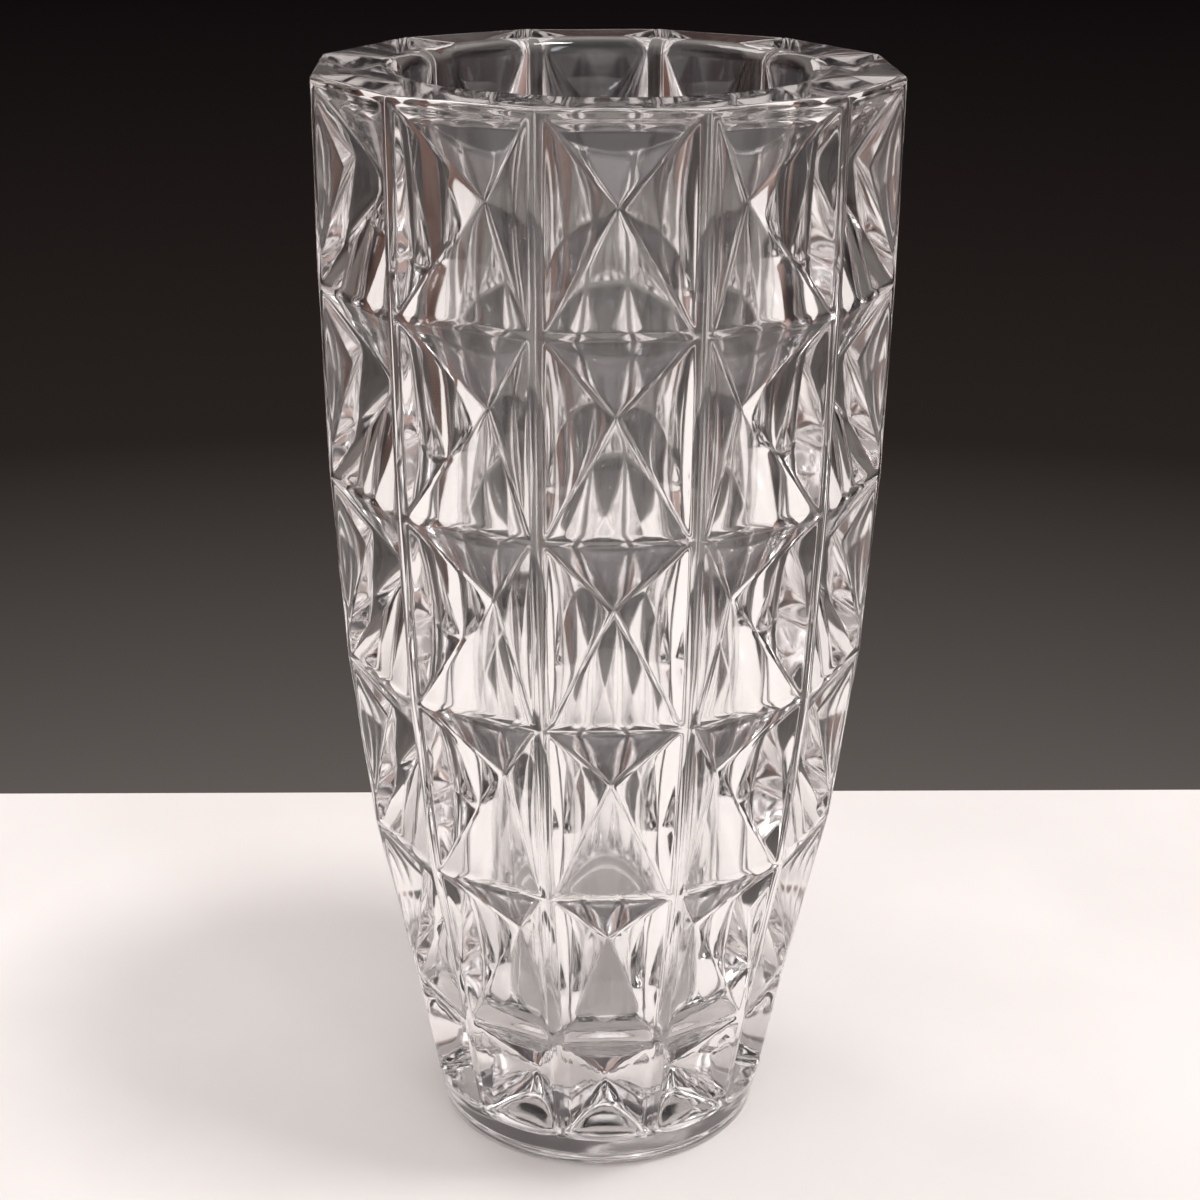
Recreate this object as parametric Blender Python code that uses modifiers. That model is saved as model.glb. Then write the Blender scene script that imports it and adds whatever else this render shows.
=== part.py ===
"""Cut crystal vase: one heavy piece of clear glass.

The outside is a twelve-sided barrel that draws in towards a round foot. Every side carries rows
of sunken four-sided pyramids with a narrow rib left between neighbours. The inside is a smooth
tapered bore with a thick floor. Metres, +Z up, origin at the middle of the base, and the middle
of one column of panels faces -Y.
"""
import math

import bmesh
import bpy
from mathutils import Matrix, Vector

# Driving dimensions, in metres
HEIGHT = 0.254                 # table to the top of the rim
RIM_RADIUS = 0.0642            # axis to a corner of the twelve-sided rim
WAIST_RADIUS = 0.0466          # axis to a corner at the bottom of the last full row
WAIST_HEIGHT = 0.0383          # base to the bottom of the last full row
BARREL_POWER = 3.2             # how late the sides start to draw in, 1 is a straight taper
COLUMNS = 12
ROWS = 5                       # full rows; a short one runs into the foot below them

CUT_DEPTH = 0.0097             # side panel to the bottom of a sunken pyramid
CUT_LIFT = 0.0018              # how far each pyramid's point sits above the middle of its panel
RIB_WIDTH = 0.0033             # upright ribs
BAND_WIDTH = 0.0016            # level ribs between the rows

RIM_EDGE = 0.0010              # chamfer round the outside of the rim
MOUTH_EDGE = 0.0036            # rounding round the inside of the rim
RIM_WALL = 0.0178              # side panel to the bore, at the rim
WAIST_WALL = 0.0140            # side panel to the bore, at the bottom of the last full row
BORE_POWER = 2.0               # how late the bore starts to draw in, 1 is a straight taper
FLOOR_THICKNESS = 0.030
FLOOR_ROUND = 0.012            # rounding where the bore meets its floor

FOOT_HEIGHT = 0.0103           # base to the foot's top edge
FOOT_TOP_RADIUS = 0.0413
FOOT_RADIUS = 0.0395
FOOT_EDGE = 0.0020             # rounding where the foot meets the table
SHOULDER_RISE = 0.0024         # from the foot's top edge up to where it meets the panels
SHOULDER_WIDTH = 0.0060
RECESS_DEPTH = 0.0008          # hollow under the base, which leaves a ring to stand on
RING_WIDTH = 0.0075

# Construction values
ROUND_STEPS = 48               # sides of every turned surface
ARC_STEPS = 4                  # straight pieces in each rounded edge
BORE_STEPS = 6                 # straight pieces down the side of the bore
CUT_OVERRUN = 0.0003           # how far a cutter stands out of the face that it cuts
EMBED = 0.0003                 # how far the ribs' ends lie inside the foot

COLUMN_ANGLE = math.tau / COLUMNS
FLAT = math.cos(COLUMN_ANGLE / 2)      # panel distance over corner distance
ROW_TOP = HEIGHT - RIM_EDGE
ROW_HEIGHT = (ROW_TOP - WAIST_HEIGHT) / ROWS


def clear_scene():
    for item in list(bpy.data.objects):
        bpy.data.objects.remove(item, do_unlink=True)


def new_collection(name):
    collection = bpy.data.collections.new(name)
    bpy.context.scene.collection.children.link(collection)
    return collection


def corner_radius(z):
    """Axis to a corner of the barrel at height z."""
    if z >= WAIST_HEIGHT:
        drop = (ROW_TOP - z) / (ROW_TOP - WAIST_HEIGHT)
        return RIM_RADIUS - (RIM_RADIUS - WAIST_RADIUS) * max(drop, 0) ** BARREL_POWER
    slope = (WAIST_RADIUS - FOOT_TOP_RADIUS + EMBED) / (WAIST_HEIGHT - FOOT_HEIGHT)
    return WAIST_RADIUS - slope * (WAIST_HEIGHT - z)


def arc(centre, radius, start, end):
    """Points of a rounded edge in the (radius, height) plane, angles in degrees."""
    points = []
    for step in range(ARC_STEPS + 1):
        angle = math.radians(start + (end - start) * step / ARC_STEPS)
        points.append((centre[0] + radius * math.cos(angle), centre[1] + radius * math.sin(angle)))
    return points


def run_on(start, end, height):
    """Where the line from start through end reaches a height, so that it crosses a face cleanly."""
    reach = (height - start[1]) / (end[1] - start[1])
    return (start[0] + (end[0] - start[0]) * reach, height)


def turned(name, collection, profile, steps, smooth):
    """Turn an open (radius, height) profile, given from top to bottom, about Z."""
    mesh = bpy.data.meshes.new(name)
    edges = [(i, i + 1) for i in range(len(profile) - 1)]
    mesh.from_pydata([(radius, 0, height) for radius, height in profile], edges, [])
    item = bpy.data.objects.new(name, mesh)
    collection.objects.link(item)
    screw = item.modifiers.new("Turn", "SCREW")
    screw.steps = steps
    screw.render_steps = steps
    screw.use_merge_vertices = True
    screw.merge_threshold = 0.00001
    screw.use_smooth_shade = smooth
    return item


def barrel():
    """The uncut twelve-sided blank, closed, with its lower end buried in the foot."""
    profile = [(0, HEIGHT), (RIM_RADIUS - RIM_EDGE, HEIGHT)]
    for row in range(ROWS + 1):
        z = ROW_TOP - row * ROW_HEIGHT
        profile.append((corner_radius(z), z))
    profile.append((corner_radius(FOOT_HEIGHT), FOOT_HEIGHT))
    profile.append((FOOT_RADIUS - SHOULDER_WIDTH, FOOT_HEIGHT / 2))
    profile.append((0, FOOT_HEIGHT / 2))
    item = turned("vase_body", parts, profile, COLUMNS, smooth=False)
    item.rotation_euler.z = COLUMN_ANGLE / 2
    return item


def panel_cutter(top, bottom):
    """One sunken pyramid for the panel between two heights, cut from the +X side.

    The panel lies between the corners of its top and bottom edges. Local x runs across it, local
    y up it and local z out of it.
    """
    upper = Vector((corner_radius(top) * FLAT, 0, top))
    lower = Vector((corner_radius(bottom) * FLAT, 0, bottom))
    across = Vector((0, 1, 0))
    up = (upper - lower).normalized()
    out = across.cross(up)
    middle = (upper + lower) / 2
    tall = (upper - lower).length - BAND_WIDTH
    wide = {1: corner_radius(top), -1: corner_radius(bottom)}

    pyramid = bmesh.new()
    point_down = Matrix.Rotation(math.pi, 4, "X") @ Matrix.Rotation(math.pi / 4, 4, "Z")
    bmesh.ops.create_cone(pyramid, cap_ends=True, segments=4, radius1=1, radius2=0, depth=1,
                          matrix=point_down)
    bmesh.ops.remove_doubles(pyramid, verts=pyramid.verts, dist=0.00001)
    point = middle + up * CUT_LIFT - out * CUT_DEPTH
    reach = (CUT_DEPTH + CUT_OVERRUN) / CUT_DEPTH
    for vertex in pyramid.verts:
        if vertex.co.z < 0:
            vertex.co = point
            continue
        end = 1 if vertex.co.y > 0 else -1
        width = 2 * wide[end] * math.sin(COLUMN_ANGLE / 2) - RIB_WIDTH
        corner = middle + across * (math.copysign(width / 2, vertex.co.x)) + up * (end * tall / 2)
        vertex.co = point + (corner - point) * reach
    return pyramid


def row_cutter(row):
    """The pyramids of one row, one for each column."""
    top = ROW_TOP - row * ROW_HEIGHT
    ring = bmesh.new()
    for column in range(COLUMNS):
        pyramid = panel_cutter(top, top - ROW_HEIGHT)
        turn = Matrix.Rotation(column * COLUMN_ANGLE, 4, "Z")
        bmesh.ops.transform(pyramid, matrix=turn, verts=pyramid.verts)
        one = bpy.data.meshes.new("panel")
        pyramid.to_mesh(one)
        pyramid.free()
        ring.from_mesh(one)
        bpy.data.meshes.remove(one)
    name = f"row_{row + 1}_cut"
    mesh = bpy.data.meshes.new(name)
    ring.to_mesh(mesh)
    ring.free()
    item = bpy.data.objects.new(name, mesh)
    cutters.objects.link(item)
    return item


def foot():
    """The round foot, with a sloping shoulder above it and a rounded edge on the table."""
    shoulder = FOOT_HEIGHT + SHOULDER_RISE
    profile = [(0, shoulder), (FOOT_TOP_RADIUS - SHOULDER_WIDTH, shoulder)]
    profile.append((FOOT_TOP_RADIUS, FOOT_HEIGHT))
    profile += arc((FOOT_RADIUS - FOOT_EDGE, FOOT_EDGE), FOOT_EDGE, 0, -90)
    profile.append((0, 0))
    return turned("foot", cutters, profile, ROUND_STEPS, smooth=True)


def bore_radius(z):
    """Radius of the bore at height z, clear of its mouth and its floor."""
    mouth = RIM_RADIUS * FLAT - RIM_WALL
    waist = WAIST_RADIUS * FLAT - WAIST_WALL
    drop = (HEIGHT - z) / (HEIGHT - WAIST_HEIGHT)
    return mouth - (mouth - waist) * drop ** BORE_POWER


def bore():
    """The inside of the vase as a solid, flared at the mouth and rounded at the floor."""
    side_top = HEIGHT - MOUTH_EDGE
    side_end = FLOOR_THICKNESS + FLOOR_ROUND
    mouth = bore_radius(side_top)
    at_floor = bore_radius(side_end)
    flare = arc((mouth + MOUTH_EDGE, side_top), MOUTH_EDGE, 90, 180)
    profile = [(0, HEIGHT + RIM_EDGE), run_on(flare[1], flare[0], HEIGHT + RIM_EDGE)]
    profile += flare[1:]
    for step in range(1, BORE_STEPS):
        z = side_top - (side_top - side_end) * step / BORE_STEPS
        profile.append((bore_radius(z), z))
    profile += arc((at_floor - FLOOR_ROUND, side_end), FLOOR_ROUND, 0, -90)
    profile.append((0, FLOOR_THICKNESS))
    return turned("bore", cutters, profile, ROUND_STEPS, smooth=True)


def base_recess():
    """The shallow hollow under the base."""
    ring = FOOT_RADIUS - RING_WIDTH
    top = (ring - RECESS_DEPTH * 2, RECESS_DEPTH)
    profile = [(0, RECESS_DEPTH), top, run_on(top, (ring, 0), -RECESS_DEPTH), (0, -RECESS_DEPTH)]
    return turned("base_recess", cutters, profile, ROUND_STEPS, smooth=False)


def apply_boolean(item, tool, operation):
    modifier = item.modifiers.new(tool.name, "BOOLEAN")
    modifier.operation = operation
    modifier.solver = "EXACT"
    modifier.object = tool
    tool.hide_render = True
    tool.display_type = "WIRE"


def crystal():
    material = bpy.data.materials.new("clear_crystal")
    material.use_nodes = True
    shader = material.node_tree.nodes["Principled BSDF"]
    shader.inputs["Base Color"].default_value = (0.93, 0.95, 0.95, 1)
    shader.inputs["Roughness"].default_value = 0.02
    shader.inputs["Metallic"].default_value = 0
    shader.inputs["IOR"].default_value = 1.54
    shader.inputs["Transmission Weight"].default_value = 1
    return material


clear_scene()
parts = new_collection("cut_crystal_vase")
cutters = new_collection("cutters")

vase = barrel()
for row in range(ROWS + 1):
    apply_boolean(vase, row_cutter(row), "DIFFERENCE")
apply_boolean(vase, foot(), "UNION")
apply_boolean(vase, bore(), "DIFFERENCE")
apply_boolean(vase, base_recess(), "DIFFERENCE")
vase.data.materials.append(crystal())
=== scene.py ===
"""Cut crystal vase: the finished glass body, the table top it stands on, its light and its camera.

Every length is in metres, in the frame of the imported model: +Z up, origin under the middle of the
base, one column of cut panels facing -Y.
"""
import math

import bmesh
import bpy
from mathutils import Euler, Matrix, Vector


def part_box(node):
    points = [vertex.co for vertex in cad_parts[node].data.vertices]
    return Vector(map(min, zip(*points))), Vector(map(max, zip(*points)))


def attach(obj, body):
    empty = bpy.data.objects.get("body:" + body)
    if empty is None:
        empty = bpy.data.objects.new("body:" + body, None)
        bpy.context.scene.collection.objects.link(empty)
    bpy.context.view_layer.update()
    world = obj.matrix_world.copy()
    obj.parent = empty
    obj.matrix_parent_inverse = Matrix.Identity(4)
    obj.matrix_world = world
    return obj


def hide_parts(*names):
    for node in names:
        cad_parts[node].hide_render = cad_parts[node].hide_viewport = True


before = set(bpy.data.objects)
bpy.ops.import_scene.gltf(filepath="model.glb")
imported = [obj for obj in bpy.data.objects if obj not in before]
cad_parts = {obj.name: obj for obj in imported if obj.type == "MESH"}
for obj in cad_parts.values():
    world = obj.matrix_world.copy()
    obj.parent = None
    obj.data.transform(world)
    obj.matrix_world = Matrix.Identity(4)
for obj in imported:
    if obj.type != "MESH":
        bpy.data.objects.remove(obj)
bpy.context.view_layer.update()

bl_info = {
    "name": "Cut Crystal Vase",
    "version": (1, 0, 0),
    "blender": (4, 5, 0),
    "location": "View3D > Sidebar > Crystal Vase",
    "description": "Builds a heavy vase of clear crystal cut with sunken pyramids",
    "category": "Add Mesh",
}

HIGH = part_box("vase_body")[1]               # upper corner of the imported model's box
COLUMNS = 12
ROWS = 5                                    # full rows; a short one runs into the foot below them
COLUMN_ANGLE = math.tau / COLUMNS
HALF_SINE = math.sin(COLUMN_ANGLE / 2)
FLAT = math.cos(COLUMN_ANGLE / 2)           # panel distance over corner distance


# ---------------------------------------------------------------- settings

def length(name, description, default):
    return bpy.props.FloatProperty(name=name, description=description, default=default,
                                   subtype="DISTANCE", unit="LENGTH", precision=5)


def angle(name, description, default):
    return bpy.props.FloatProperty(name=name, description=description, default=default,
                                   subtype="ANGLE", unit="ROTATION", precision=5)


class CrystalVaseForm(bpy.types.PropertyGroup):
    """Sizes of the glass body."""
    height: length("Height", "Table to the top of the rim", HIGH.z)
    rim_radius: length("Rim radius", "Axis to a corner of the rim", HIGH.x / FLAT)
    waist_radius: length("Waist radius", "Axis to a corner below the last full row", 0.0466)
    waist_height: length("Waist height", "Base to the bottom of the last full row", 0.0383)
    barrel_power: bpy.props.FloatProperty(
        name="Barrel power", description="How late the sides start to draw in", default=3.2)
    cut_depth: length("Cut depth", "Side panel to the bottom of a sunken pyramid", 0.0097)
    cut_lift: length("Cut lift", "Height of a pyramid's point above its panel's middle", 0.0018)
    rib_width: length("Rib width", "Width of the upright ribs", 0.0033)
    band_width: length("Band width", "Width of the level ribs between rows", 0.0016)
    rib_soft: length("Rib rounding", "How far the polish rounds the edges of the ribs", 0.0014)
    facet_dish: length("Facet dish", "How far the middle of each facet is sunk in", 0.0004)
    valley_soft: length("Valley rounding", "How far the polish fills the valleys", 0.0006)
    rim_edge: length("Rim edge", "Rounding round the outside of the rim", 0.0010)
    mouth_edge: length("Mouth edge", "Rounding round the inside of the rim", 0.0036)
    rim_wall: length("Rim wall", "Side panel to the bore at the rim", 0.0178)
    waist_wall: length("Waist wall", "Side panel to the bore at the waist", 0.0140)
    bore_power: bpy.props.FloatProperty(
        name="Bore power", description="How late the bore starts to draw in", default=2.0)
    floor: length("Floor", "Thickness of the glass under the bore", 0.030)
    floor_round: length("Floor rounding", "Rounding where the bore meets its floor", 0.012)
    foot_height: length("Foot height", "Base to the top edge of the foot", 0.0103)
    foot_top: length("Foot top radius", "Radius of the foot at its top edge", 0.0413)
    foot_radius: length("Foot radius", "Radius of the foot near the table", 0.0395)
    foot_edge: length("Foot edge", "Rounding where the foot meets the table", 0.0020)
    foot_soft: length("Foot rounding", "How far the cuts melt into the foot", 0.0010)
    shoulder_rise: length("Shoulder rise", "Height of the slope above the foot", 0.0024)
    shoulder_width: length("Shoulder width", "Width of the slope above the foot", 0.0060)
    recess: length("Recess", "Depth of the hollow under the base", 0.0008)
    ring_width: length("Ring width", "Width of the ring that the vase stands on", 0.0075)
    ripple: length("Ripple", "Height of the soft waves that fire polish leaves", 0.00012)
    ripple_size: length("Ripple size", "Length of the soft waves", 0.016)


class CrystalVaseLook(bpy.types.PropertyGroup):
    """Finish of the glass."""
    ior: bpy.props.FloatProperty(name="IOR", description="Refraction of the glass", default=1.52)
    tint: bpy.props.FloatVectorProperty(
        name="Tint", description="Colour that thick glass takes", subtype="COLOR", size=3,
        default=(1.0, 0.95, 0.94))
    density: bpy.props.FloatProperty(
        name="Tint density", description="How fast the tint builds up, per metre", default=4.0)
    roughness: bpy.props.FloatProperty(
        name="Roughness", description="Softness of the fire-polished skin", default=0.06)


class CrystalVaseStage(bpy.types.PropertyGroup):
    """Table top, light and camera."""
    table_back: length("Table back", "Axis to the far edge of the table top", 0.1622)
    table_turn: angle("Table turn", "Turn of the table's far edge", math.radians(-1.45))
    table_front: length("Table front", "Axis to the near edge of the table top", 1.6)
    table_width: length("Table width", "Side to side of the table top", 3.0)
    table_gap: length("Table gap", "Base of the vase down to the table top", 0.0002)
    camera_distance: length("Camera distance", "Camera to the axis, level", 0.4758)
    camera_height: length("Camera height", "Camera above the table", 0.3174)
    camera_turn: angle("Camera turn", "Camera round the axis from the front", math.radians(-2.9))
    camera_pan: angle("Camera pan", "Camera away from the axis, to its left", 0.001)
    camera_tilt: angle("Camera tilt", "Downward tilt of the camera", math.radians(21.43))
    camera_roll: angle("Camera roll", "Roll of the camera", 0.0076)
    lens: bpy.props.FloatProperty(name="Lens", description="Focal length in mm", default=65.3)


# ---------------------------------------------------------------- the outline of the glass

def corner_radius(form, z):
    """Axis to a corner of the barrel at height z."""
    row_top = form.height - form.rim_edge
    if z >= form.waist_height:
        drop = max(row_top - z, 0) / (row_top - form.waist_height)
        return form.rim_radius - (form.rim_radius - form.waist_radius) * drop ** form.barrel_power
    slope = (form.waist_radius - form.foot_top) / (form.waist_height - form.foot_height)
    return form.waist_radius - slope * (form.waist_height - z)


def soft_min(a, b, soft):
    """The lesser of two heights, with their crossing rounded over a width of soft."""
    near = max(soft - abs(a - b), 0) / soft
    return min(a, b) - near * near * soft / 4


def soft_max(a, b, soft):
    return -soft_min(-a, -b, soft)


class Panel:
    """One flat panel of the barrel between two heights, facing +X, with its sunken pyramid."""

    def __init__(self, form, top, bottom):
        self.form = form
        upper = Vector((corner_radius(form, top) * FLAT, 0, top))
        lower = Vector((corner_radius(form, bottom) * FLAT, 0, bottom))
        self.middle = (upper + lower) / 2
        self.across = Vector((0, 1, 0))
        self.up = (upper - lower).normalized()
        self.out = self.across.cross(self.up)
        self.half = (upper - lower).length / 2
        self.top_half = corner_radius(form, top) * HALF_SINE
        self.bottom_half = corner_radius(form, bottom) * HALF_SINE
        self.cut_top = self.top_half - form.rib_width / 2
        self.cut_bottom = self.bottom_half - form.rib_width / 2
        self.cut_half = self.half - form.band_width / 2
        fall = form.cut_depth / (self.cut_half + form.cut_lift)
        self.edge_soft = min(form.rib_soft, fall * form.band_width / 2)
        self.solve_side()

    def solve_side(self):
        """Slopes of the side facet through the pyramid's point and its two outer corners."""
        rise = self.cut_half - self.form.cut_lift
        fall = -self.cut_half - self.form.cut_lift
        depth = self.form.cut_depth
        area = self.cut_top * fall - self.cut_bottom * rise
        self.side_x = depth * (fall - rise) / area
        self.side_y = depth * (self.cut_top - self.cut_bottom) / area

    def depth(self, x, y):
        """How far the cut glass lies below the panel."""
        form = self.form
        full = form.cut_depth
        lifted = y - form.cut_lift
        rise = self.cut_half - form.cut_lift
        fall = self.cut_half + form.cut_lift
        side = full - self.side_x * abs(x) - self.side_y * lifted
        far_side = full + self.side_x * abs(x) - self.side_y * lifted
        upper = full * (1 - lifted / rise)
        lower = full * (1 + lifted / fall)
        end = min(upper, lower)
        if end < side:
            width = self.cut_top if lifted > 0 else self.cut_bottom
            shares = (end / full, (side - end) / (2 * self.side_x * width),
                      (far_side - end) / (2 * self.side_x * width))
        else:
            shares = (side / full, (lower - side) / (full * (1 + rise / fall)),
                      (upper - side) / (full * (1 + fall / rise)))
        hollow = 27 * form.facet_dish * math.prod(max(share, 0) for share in shares)
        return soft_max(soft_min(side, end, form.valley_soft) + hollow, 0, self.edge_soft)

    def place(self, x, y):
        """The point of the cut surface over (x, y) of the panel."""
        flat = self.middle + self.across * x + self.up * y
        return flat - self.out * self.depth(x, y)

    def corners(self, grow):
        """Corners of a ring: 0 is the pyramid's point, 1 its outer edge and 2 the panel's edge."""
        lift = self.form.cut_lift
        cut = [(-self.cut_bottom, -self.cut_half), (self.cut_bottom, -self.cut_half),
               (self.cut_top, self.cut_half), (-self.cut_top, self.cut_half)]
        edge = [(-self.bottom_half, -self.half), (self.bottom_half, -self.half),
                (self.top_half, self.half), (-self.top_half, self.half)]
        if grow <= 1:
            return [(x * grow, lift + (y - lift) * grow) for x, y in cut]
        share = grow - 1
        return [(a[0] + (b[0] - a[0]) * share, a[1] + (b[1] - a[1]) * share)
                for a, b in zip(cut, edge)]


CORNER_STEPS = (0, 0.00025, 0.0006, 0.0013)     # points close to each corner of a ring
MIDDLE_STEPS = 6                                # even pieces between them
RINGS = (2, 1.66, 1.33, 1, 0.985, 0.965, 0.935, 0.9, 0.85, 0.76, 0.64, 0.52, 0.4, 0.28, 0.17,
         0.09, 0.04)                            # closest where the edges and the point are rounded
SKIRT_STEP = 0.0008                             # height of one line of the short last row
RIM_SHARES = (0.04, 0.12, 0.3, 0.5, 0.7, 0.88, 0.96, 1)     # lines across the rim's flat top
RECESS_SLOPE = ((0.6, 0.15), (1.6, 0.65), (2.6, 1))     # inwards and up, in depths of the hollow
RECESS_EDGE = 3.2                               # where the hollow is flat, in depths of the hollow
BORE_LEVELS = 24


def side_points(span):
    """Distances along a ring's side of this length, closer together near both corners."""
    shrink = min(1, span * 0.3 / CORNER_STEPS[-1])
    start = [step * shrink for step in CORNER_STEPS]
    plain = span - 2 * start[-1]
    middle = [start[-1] + plain * i / MIDDLE_STEPS for i in range(1, MIDDLE_STEPS)]
    return start + middle + [span - step for step in reversed(start)]


def ring_points(corners):
    """Points round a ring, side by side, each corner once."""
    points = []
    for start, end in zip(corners, corners[1:] + corners[:1]):
        span = math.dist(start, end)
        for run in side_points(span)[:-1]:
            share = run / span
            points.append((start[0] + (end[0] - start[0]) * share,
                           start[1] + (end[1] - start[1]) * share))
    return points


def add_panel(mesh, panel):
    """The cut surface of one panel as rings that close in on the pyramid's point."""
    outer = None
    for grow in RINGS:
        ring = [mesh.verts.new(panel.place(x, y)) for x, y in ring_points(panel.corners(grow))]
        if outer:
            join_lines(mesh, ring + ring[:1], outer + outer[:1])
        outer = ring
    point = mesh.verts.new(panel.place(0, panel.form.cut_lift))
    for a, b in zip(outer, outer[1:] + outer[:1]):
        mesh.faces.new((a, b, point))


def join_lines(mesh, upper, lower):
    """Quads between two lines of points that run the same way."""
    for i in range(len(upper) - 1):
        mesh.faces.new((lower[i], lower[i + 1], upper[i + 1], upper[i]))


def foot_outline(form, z):
    """Radius of the round foot and of the slope above it at height z."""
    if z <= form.foot_height:
        share = (z - form.foot_edge) / (form.foot_height - form.foot_edge)
        return form.foot_radius + (form.foot_top - form.foot_radius) * share
    fall = form.shoulder_width / form.shoulder_rise
    return form.foot_top - (z - form.foot_height) * fall


def across_shares(form):
    """Places across a panel's width, from -1 to 1, that match the bottom of the last full row."""
    half = form.waist_radius * HALF_SINE
    return [run / half - 1 for run in side_points(2 * half)]


def finer(shares):
    """The same places with one more between each two."""
    result = [shares[0]]
    for a, b in zip(shares, shares[1:]):
        result += [(a + b) / 2, b]
    return result


def turned_line(mesh, radius, z, shares):
    """One line of a round surface across a column."""
    line = []
    for share in shares:
        turn = math.atan(share * math.tan(COLUMN_ANGLE / 2))
        line.append(mesh.verts.new((radius * math.cos(turn), radius * math.sin(turn), z)))
    return line


def quarter(steps):
    """Cosine and sine at even steps of a quarter turn, without its start."""
    turns = [math.pi / 2 * step / steps for step in range(1, steps + 1)]
    return [(math.cos(turn), math.sin(turn)) for turn in turns]


def add_skirt(mesh, form):
    """The short last row, which runs down into the round foot. Returns its lowest line."""
    row_height = (form.height - form.rim_edge - form.waist_height) / ROWS
    panel = Panel(form, form.waist_height, form.waist_height - row_height)
    coarse = across_shares(form)
    shares = finer(coarse)
    top = [mesh.verts.new(panel.place(share * panel.top_half, panel.half)) for share in coarse]
    previous = None
    count = int((form.waist_height - form.foot_height) / SKIRT_STEP)
    for level in range(1, count + 1):
        z = form.waist_height - (form.waist_height - form.foot_height) * level / count
        y = panel.half - (form.waist_height - z) / panel.up.z
        half = corner_radius(form, z) * HALF_SINE
        line = []
        for share in shares:
            spot = panel.place(share * half, y)
            radius = math.hypot(spot.x, spot.y)
            wanted = soft_max(radius, foot_outline(form, spot.z), form.foot_soft)
            spot.xy = spot.xy * (wanted / radius)
            line.append(mesh.verts.new(spot))
        if previous:
            join_lines(mesh, previous, line)
        else:
            for i in range(len(coarse) - 1):
                left, middle, right = line[2 * i:2 * i + 3]
                mesh.faces.new((left, middle, top[i]))
                mesh.faces.new((middle, top[i + 1], top[i]))
                mesh.faces.new((middle, right, top[i + 1]))
        previous = line
    return previous, shares


def add_foot(mesh, form, line, shares):
    """The round foot, its resting ring and the shallow hollow inside it."""
    outline = []
    for level in range(1, 9):
        z = form.foot_height - (form.foot_height - form.foot_edge) * level / 8
        outline.append((foot_outline(form, z), z))
    flat = form.foot_radius - form.foot_edge
    outline += [(flat + form.foot_edge * cosine, form.foot_edge * (1 - sine))
                for cosine, sine in quarter(6)]
    inner = form.foot_radius - form.ring_width
    outline += [(flat - (flat - inner) * i / 4, 0) for i in range(1, 5)]
    outline += [(inner - form.recess * inwards, form.recess * up) for inwards, up in RECESS_SLOPE]
    hollow = inner - form.recess * RECESS_EDGE
    outline += [(hollow * (1 - i / 9), form.recess) for i in range(9)]
    add_turned(mesh, line, outline, shares, form.recess, outside=True)


def add_turned(mesh, line, outline, shares, pole_z, outside):
    """A turned surface that runs on from a line to the axis, on the outside or in the bore."""
    for radius, z in outline:
        following = turned_line(mesh, radius, z, shares)
        join_lines(mesh, *((line, following) if outside else (following, line)))
        line = following
    pole = mesh.verts.new((0, 0, pole_z))
    for a, b in zip(line, line[1:]):
        mesh.faces.new((pole, b, a) if outside else (a, b, pole))


def add_rim(mesh, form, shares):
    """The rounded edge of the rim and its flat top. Returns the line round the mouth."""
    inner = form.rim_radius * FLAT - form.rim_wall + form.mouth_edge
    top = form.rim_radius - form.rim_edge
    steps = [(form.rim_radius, form.height - form.rim_edge, 0)]
    steps += [(top + form.rim_edge * cosine, form.height - form.rim_edge * (1 - sine), 0)
              for cosine, sine in quarter(4)]
    steps += [(top, form.height, share) for share in RIM_SHARES]
    line = None
    for radius, z, inwards in steps:
        following = []
        for share in shares:
            side = Vector((radius * FLAT, share * radius * HALF_SINE, 0))
            spot = side.lerp(side.normalized() * inner, inwards)
            spot.z = z
            following.append(mesh.verts.new(spot))
        if line:
            join_lines(mesh, following, line)
        line = following
    return line


def add_bore(mesh, form, line, shares):
    """The rounded mouth, the tapered bore and its floor."""
    mouth = form.rim_radius * FLAT - form.rim_wall
    waist = form.waist_radius * FLAT - form.waist_wall
    outline = [(mouth + form.mouth_edge * (1 - sine), form.height - form.mouth_edge * (1 - cosine))
               for cosine, sine in quarter(6)]
    start = form.height - form.mouth_edge
    end = form.floor + form.floor_round
    for level in range(1, BORE_LEVELS + 1):
        z = start + (end - start) * level / BORE_LEVELS
        drop = (form.height - z) / (form.height - form.waist_height)
        outline.append((mouth - (mouth - waist) * drop ** form.bore_power, z))
    flat = outline[-1][0] - form.floor_round
    outline += [(flat + form.floor_round * cosine, end - form.floor_round * sine)
                for cosine, sine in quarter(9)]
    outline += [(flat * (1 - i / 6), form.floor) for i in range(1, 6)]
    add_turned(mesh, line, outline, shares, form.floor, outside=False)


def column_mesh(form):
    """One twelfth of the vase: a full slice from the axis out, facing +X."""
    mesh = bmesh.new()
    row_top = form.height - form.rim_edge
    row_height = (row_top - form.waist_height) / ROWS
    for row in range(ROWS):
        top = row_top - row * row_height
        add_panel(mesh, Panel(form, top, top - row_height))
    line, shares = add_skirt(mesh, form)
    add_foot(mesh, form, line, shares)
    half = form.rim_radius * HALF_SINE
    rim_shares = [run / half - 1 for run in side_points(2 * half)]
    add_bore(mesh, form, add_rim(mesh, form, rim_shares), rim_shares)
    bmesh.ops.remove_doubles(mesh, verts=mesh.verts, dist=0.000002)
    data = bpy.data.meshes.new("column")
    mesh.to_mesh(data)
    mesh.free()
    return data


# ---------------------------------------------------------------- node trees

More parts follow.
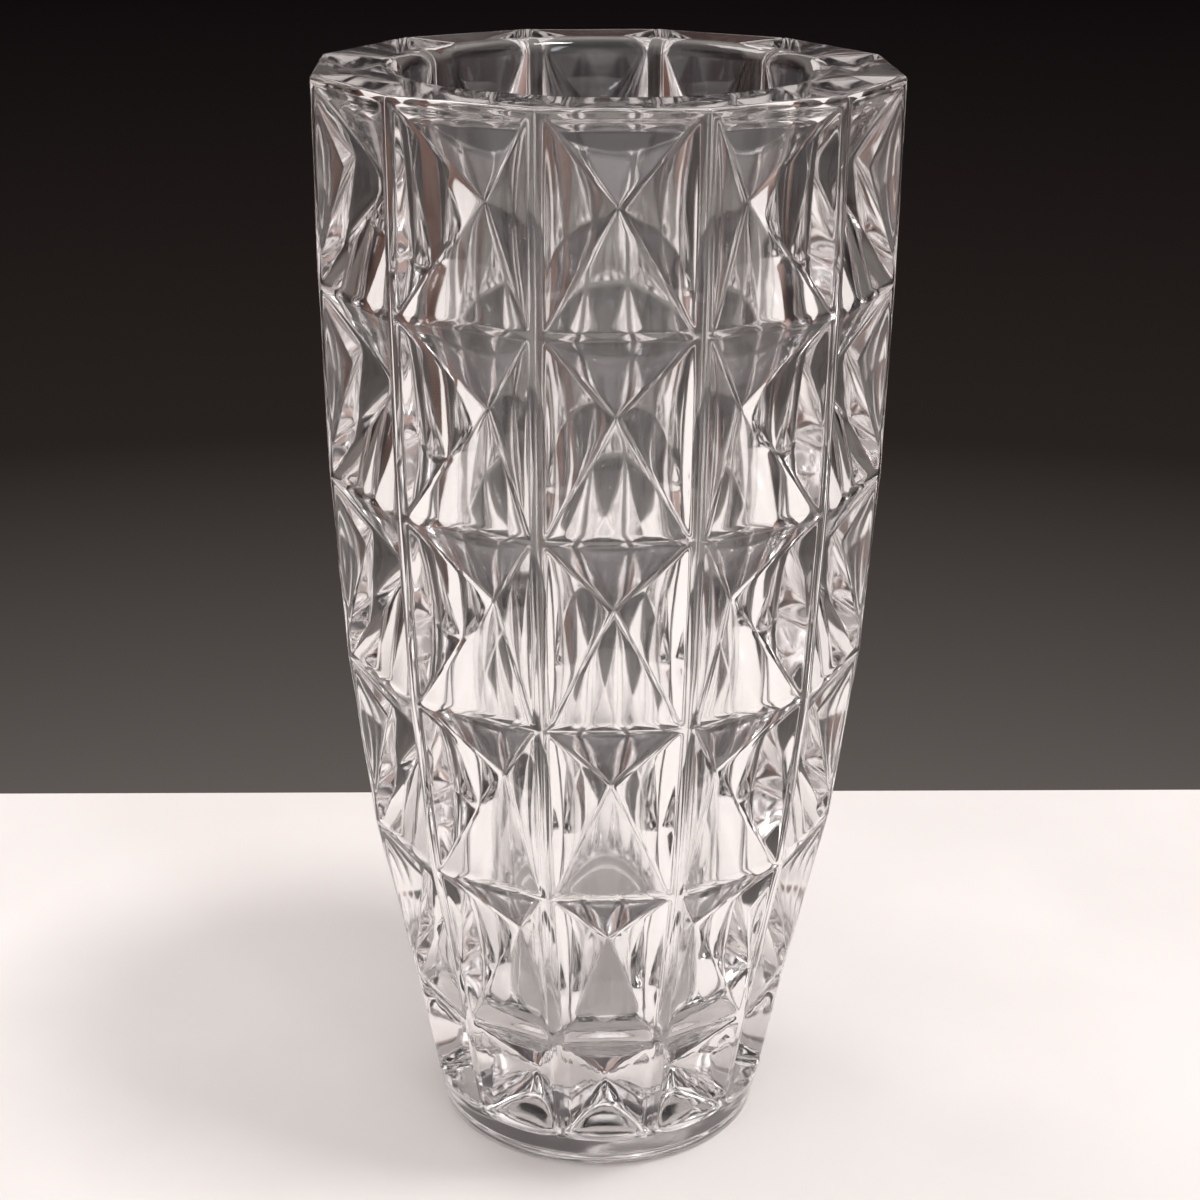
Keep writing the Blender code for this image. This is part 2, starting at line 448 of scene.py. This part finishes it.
class Graph:
    """A node tree that is being built."""

    def __init__(self, tree):
        self.tree = tree

    def node(self, kind, inputs=None, output=0, **settings):
        """Adds a node, sets it up, feeds its sockets and returns one of its outputs."""
        made = self.tree.nodes.new(kind)
        for name, value in settings.items():
            setattr(made, name, value)
        for name, value in (inputs or {}).items():
            self.feed(made.inputs[name], value)
        return Wire(self, made.outputs[output]) if len(made.outputs) else made

    def feed(self, socket, value):
        if isinstance(value, Wire):
            self.tree.links.new(value.socket, socket)
        else:
            socket.default_value = value


class Wire:
    """A node's output that can be used in ordinary sums."""

    def __init__(self, graph, socket):
        self.graph = graph
        self.socket = socket

    def math(self, operation, *values):
        inputs = {i: value for i, value in enumerate(values)}
        return self.graph.node("ShaderNodeMath", inputs, operation=operation)

    def __add__(self, other):
        return self.math("ADD", self, other)

    def __radd__(self, other):
        return self.math("ADD", other, self)

    def __sub__(self, other):
        return self.math("SUBTRACT", self, other)

    def __rsub__(self, other):
        return self.math("SUBTRACT", other, self)

    def __mul__(self, other):
        return self.math("MULTIPLY", self, other)

    def __rmul__(self, other):
        return self.math("MULTIPLY", other, self)

    def __truediv__(self, other):
        return self.math("DIVIDE", self, other)

    def __rtruediv__(self, other):
        return self.math("DIVIDE", other, self)

    def smooth(self, low, high):
        """0 at low, 1 at high, which may be the lesser, and a soft rise between."""
        return self.graph.node("ShaderNodeMapRange", {
            "Value": self, "From Min": low, "From Max": high}, interpolation_type="SMOOTHSTEP")

    def step(self, low, high):
        """0 at low, 1 at high and a straight rise between."""
        return self.graph.node("ShaderNodeMapRange", {
            "Value": self, "From Min": low, "From Max": high})


def mix_colour(graph, share, first, second):
    mixed = graph.tree.nodes.new("ShaderNodeMix")
    mixed.data_type = "RGBA"
    graph.feed(mixed.inputs[0], share)
    graph.feed(mixed.inputs[6], first)
    graph.feed(mixed.inputs[7], second)
    return Wire(graph, mixed.outputs[2])


def fill_ramp(wire, stops):
    """Sets the stops of the colour ramp that a wire comes out of."""
    elements = wire.socket.node.color_ramp.elements
    while len(elements) > 1:
        elements.remove(elements[-1])
    elements[0].position = stops[0][0]
    elements[0].color = (*stops[0][1], 1)
    for place, colour in stops[1:]:
        elements.new(place).color = (*colour, 1)


def new_material(name):
    material = bpy.data.materials.new(name)
    material.use_nodes = True
    tree = material.node_tree
    tree.nodes.clear()
    return material, Graph(tree)


# ---------------------------------------------------------------- finishes

def crystal_material(look):
    """Clear, fire-polished crystal with a faint rose tint where it is thick."""
    material, graph = new_material("clear_crystal")
    place = graph.node("ShaderNodeTexCoord", output="Object")
    waves = graph.node("ShaderNodeTexNoise", {"Vector": place, "Scale": 55, "Detail": 1.5,
                                              "Roughness": 0.4})
    bump = graph.node("ShaderNodeBump", {"Height": waves, "Strength": 0.25, "Distance": 0.0006})
    shader = graph.node("ShaderNodeBsdfPrincipled", {
        "Base Color": (1, 1, 1, 1), "Roughness": look.roughness, "IOR": look.ior,
        "Transmission Weight": 1, "Normal": bump})
    inside = graph.node("ShaderNodeVolumeAbsorption", {
        "Color": (*look.tint, 1), "Density": look.density})
    graph.node("ShaderNodeOutputMaterial", {"Surface": shader, "Volume": inside})
    return material


def table_material():
    """A pale laminate table top with a faint warm mottle."""
    material, graph = new_material("pale_table_top")
    place = graph.node("ShaderNodeTexCoord", output="Object")
    mottle = graph.node("ShaderNodeTexNoise", {"Vector": place, "Scale": 9, "Detail": 6})
    colour = mix_colour(graph, mottle.smooth(0.35, 0.65), (0.73, 0.705, 0.69, 1),
                        (0.77, 0.745, 0.73, 1))
    shader = graph.node("ShaderNodeBsdfPrincipled", {
        "Base Color": colour, "Roughness": 0.55, "Specular IOR Level": 0.3})
    graph.node("ShaderNodeOutputMaterial", {"Surface": shader})
    return material


# ---------------------------------------------------------------- building

def ring_of_columns(material):
    """Geometry nodes that turn one column into the whole vase and ripple it softly."""
    tree = bpy.data.node_groups.new("Ring of columns", "GeometryNodeTree")
    face = tree.interface
    face.new_socket("Column", in_out="INPUT", socket_type="NodeSocketGeometry")
    face.new_socket("Columns", in_out="INPUT", socket_type="NodeSocketInt")
    face.new_socket("Ripple", in_out="INPUT", socket_type="NodeSocketFloat")
    face.new_socket("Ripple size", in_out="INPUT", socket_type="NodeSocketFloat")
    face.new_socket("Vase", in_out="OUTPUT", socket_type="NodeSocketGeometry")
    graph = Graph(tree)
    given = tree.nodes.new("NodeGroupInput")
    column, columns, ripple, ripple_size = [Wire(graph, given.outputs[i]) for i in range(4)]
    points = graph.node("GeometryNodePoints", {"Count": columns})
    turn = graph.node("GeometryNodeInputIndex") * (math.tau / columns)
    angles = graph.node("ShaderNodeCombineXYZ", {"Z": turn})
    copies = graph.node("GeometryNodeInstanceOnPoints", {
        "Points": points, "Instance": column, "Rotation": angles})
    real = graph.node("GeometryNodeRealizeInstances", {"Geometry": copies})
    closed = graph.node("GeometryNodeMergeByDistance", {"Geometry": real, "Distance": 0.000005})
    place = graph.node("GeometryNodeInputPosition")
    noise = graph.node("ShaderNodeTexNoise", {"Vector": place, "Scale": 1 / ripple_size,
                                              "Detail": 0, "Roughness": 0})
    height = (noise - 0.5) * ripple * 2
    facing = graph.node("GeometryNodeInputNormal")
    shift = graph.node("ShaderNodeVectorMath", {0: facing, "Scale": height}, operation="SCALE")
    rippled = graph.node("GeometryNodeSetPosition", {"Geometry": closed, "Offset": shift})
    smooth = graph.node("GeometryNodeSetShadeSmooth", {"Geometry": rippled, "Shade Smooth": True})
    glass = graph.node("GeometryNodeSetMaterial", {"Geometry": smooth, "Material": material})
    graph.node("NodeGroupOutput", {"Vase": glass})
    return tree


def socket_key(tree, name):
    for item in tree.interface.items_tree:
        if item.name == name and item.in_out == "INPUT":
            return item.identifier
    raise KeyError(name)


def add_object(name, data):
    item = bpy.data.objects.new(name, data)
    bpy.context.scene.collection.objects.link(item)
    return item


class CRYSTALVASE_OT_body(bpy.types.Operator):
    """Build the glass body of the vase"""
    bl_idname = "crystal_vase.body"
    bl_label = "Vase Body"

    def execute(self, context):
        form = context.scene.crystal_vase_form
        material = crystal_material(context.scene.crystal_vase_look)
        source = add_object("column_source", column_mesh(form))
        tree = ring_of_columns(material)
        modifier = source.modifiers.new("Ring", "NODES")
        modifier.node_group = tree
        modifier[socket_key(tree, "Columns")] = COLUMNS
        modifier[socket_key(tree, "Ripple")] = form.ripple
        modifier[socket_key(tree, "Ripple size")] = form.ripple_size
        evaluated = source.evaluated_get(context.evaluated_depsgraph_get())
        body = bpy.data.meshes.new_from_object(evaluated)
        body.name = "vase_glass"
        vase = add_object("vase_glass", body)
        bpy.data.objects.remove(source)
        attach(vase, "root")
        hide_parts("vase_body")
        return {"FINISHED"}


class CRYSTALVASE_OT_stage(bpy.types.Operator):
    """Set the table top, the light and the camera"""
    bl_idname = "crystal_vase.stage"
    bl_label = "Stage"

    def execute(self, context):
        stage = context.scene.crystal_vase_stage
        add_table(stage)
        add_world(context.scene)
        add_lights()
        add_camera(context.scene, stage)
        return {"FINISHED"}


def add_table(stage):
    """A plane that ends a hand's width behind the vase, as a table top against a dark room."""
    mesh = bmesh.new()
    bmesh.ops.create_grid(mesh, x_segments=1, y_segments=1, size=0.5)
    depth = stage.table_back + stage.table_front
    middle = (0, stage.table_back - depth / 2, -stage.table_gap)
    bmesh.ops.scale(mesh, vec=(stage.table_width, depth, 1), verts=mesh.verts)
    bmesh.ops.translate(mesh, vec=middle, verts=mesh.verts)
    bmesh.ops.rotate(mesh, cent=(0, 0, 0), matrix=Matrix.Rotation(stage.table_turn, 3, "Z"),
                     verts=mesh.verts)
    data = bpy.data.meshes.new("table_top")
    mesh.to_mesh(data)
    mesh.free()
    table = add_object("table_top", data)
    data.materials.append(table_material())


CURTAIN = ((0.0, (0.150, 0.135, 0.125)), (0.14, (0.078, 0.068, 0.062)),     # from low to high
           (0.26, (0.021, 0.016, 0.014)), (0.50, (0.005, 0.0035, 0.004)),
           (0.62, (0.020, 0.017, 0.018)), (1.0, (0.075, 0.065, 0.068)))
FRONT_LOW = (0.45, 0.40, 0.38, 1)
FRONT_HIGH = (1.30, 1.22, 1.20, 1)
LEFT_SIDE = (0.15, 0.072, 0.052, 1)
RIGHT_SIDE = (0.46, 0.31, 0.27, 1)
SIDE_FOOT = (0.07, 0.03, 0.02, 1)
SIDE_TOP = (0.38, 0.34, 0.33, 1)
CEILING = (1.00, 0.95, 0.94, 1)


def add_world(scene):
    """A black curtain behind the table, warm dim sides, a bright front and a pale ceiling.

    Everything is laid out by direction: Y is how far back a ray looks and Z how far up.
    """
    world = bpy.data.worlds.new("studio")
    scene.world = world
    world.use_nodes = True
    world.node_tree.nodes.clear()
    graph = Graph(world.node_tree)
    direction = graph.node("ShaderNodeTexCoord", output="Generated")
    across, back, up = [graph.node("ShaderNodeSeparateXYZ", {"Vector": direction}, output=axis)
                        for axis in "XYZ"]
    curtain = graph.node("ShaderNodeValToRGB", {"Fac": up.step(-0.5, 0.3)})
    fill_ramp(curtain, CURTAIN)
    front = mix_colour(graph, up.smooth(-0.10, 0.30), FRONT_LOW, FRONT_HIGH)
    low_side = mix_colour(graph, across.smooth(-0.7, 0.7), LEFT_SIDE, RIGHT_SIDE)
    side = mix_colour(graph, up.smooth(-0.30, 0.0), SIDE_FOOT, low_side)
    side = mix_colour(graph, up.smooth(0.22, 0.34), side, SIDE_TOP)
    room = mix_colour(graph, back.smooth(-0.30, -0.55), side, front)
    hung = (back + across * 0.2).smooth(0.46, 0.58) * (up - across * 0.25).smooth(0.66, 0.54)
    room = mix_colour(graph, hung, room, curtain)
    sky = mix_colour(graph, up.smooth(0.60, 0.70), room, CEILING)
    shade = graph.node("ShaderNodeBackground", {"Color": sky, "Strength": 1})
    graph.node("ShaderNodeOutputWorld", {"Surface": shade})


def area_light(name, place, target, width, height, power, colour):
    data = bpy.data.lights.new(name, "AREA")
    data.shape = "RECTANGLE"
    data.size = width
    data.size_y = height
    data.energy = power
    data.color = colour
    light = add_object(name, data)
    light.location = place
    light.rotation_euler = (Vector(target) - Vector(place)).to_track_quat("-Z", "Y").to_euler()


def add_lights():
    area_light("key_light", (0.58, -0.26, 2.1), (0, 0, 0.1), 0.35, 0.35, 21, (1, 0.97, 0.95))
    area_light("strip_light", (1.2, -2.3, 1.9), (0, 0, 0.1), 0.20, 1.6, 7, (0.86, 0.93, 1))
    area_light("back_light", (-0.70, 0.75, 1.5), (-0.1, 0, 0), 0.5, 0.5, 4.5, (1, 0.96, 0.93))


def add_camera(scene, stage):
    data = bpy.data.cameras.new("camera")
    data.sensor_width = 36
    data.lens = stage.lens
    camera = add_object("camera", data)
    heading = stage.camera_turn
    camera.location = (stage.camera_distance * math.sin(heading),
                       -stage.camera_distance * math.cos(heading), stage.camera_height)
    level = Euler((math.pi / 2 - stage.camera_tilt, 0, heading + stage.camera_pan)).to_matrix()
    roll = Euler((0, 0, stage.camera_roll)).to_matrix()
    camera.rotation_euler = (level @ roll).to_euler()
    data.clip_start = 0.01
    scene.camera = camera
    scene.view_settings.view_transform = "Standard"


class CRYSTALVASE_PT_tools(bpy.types.Panel):
    """Sizes and builders of the crystal vase"""
    bl_label = "Crystal Vase"
    bl_idname = "CRYSTALVASE_PT_tools"
    bl_space_type = "VIEW_3D"
    bl_region_type = "UI"
    bl_category = "Crystal Vase"

    def draw(self, context):
        scene = context.scene
        for group in (scene.crystal_vase_form, scene.crystal_vase_look, scene.crystal_vase_stage):
            column = self.layout.column(align=True)
            for name in type(group).__annotations__:
                column.prop(group, name)
        for operator in (CRYSTALVASE_OT_body, CRYSTALVASE_OT_stage):
            self.layout.operator(operator.bl_idname)


CLASSES = (CrystalVaseForm, CrystalVaseLook, CrystalVaseStage, CRYSTALVASE_OT_body,
           CRYSTALVASE_OT_stage, CRYSTALVASE_PT_tools)


def register():
    for item in CLASSES:
        bpy.utils.register_class(item)
    scene = bpy.types.Scene
    scene.crystal_vase_form = bpy.props.PointerProperty(type=CrystalVaseForm)
    scene.crystal_vase_look = bpy.props.PointerProperty(type=CrystalVaseLook)
    scene.crystal_vase_stage = bpy.props.PointerProperty(type=CrystalVaseStage)


def unregister():
    scene = bpy.types.Scene
    del scene.crystal_vase_form
    del scene.crystal_vase_look
    del scene.crystal_vase_stage
    for item in reversed(CLASSES):
        bpy.utils.unregister_class(item)


def main():
    register()
    bpy.ops.crystal_vase.body()
    bpy.ops.crystal_vase.stage()


if __name__ == "__main__":
    main()
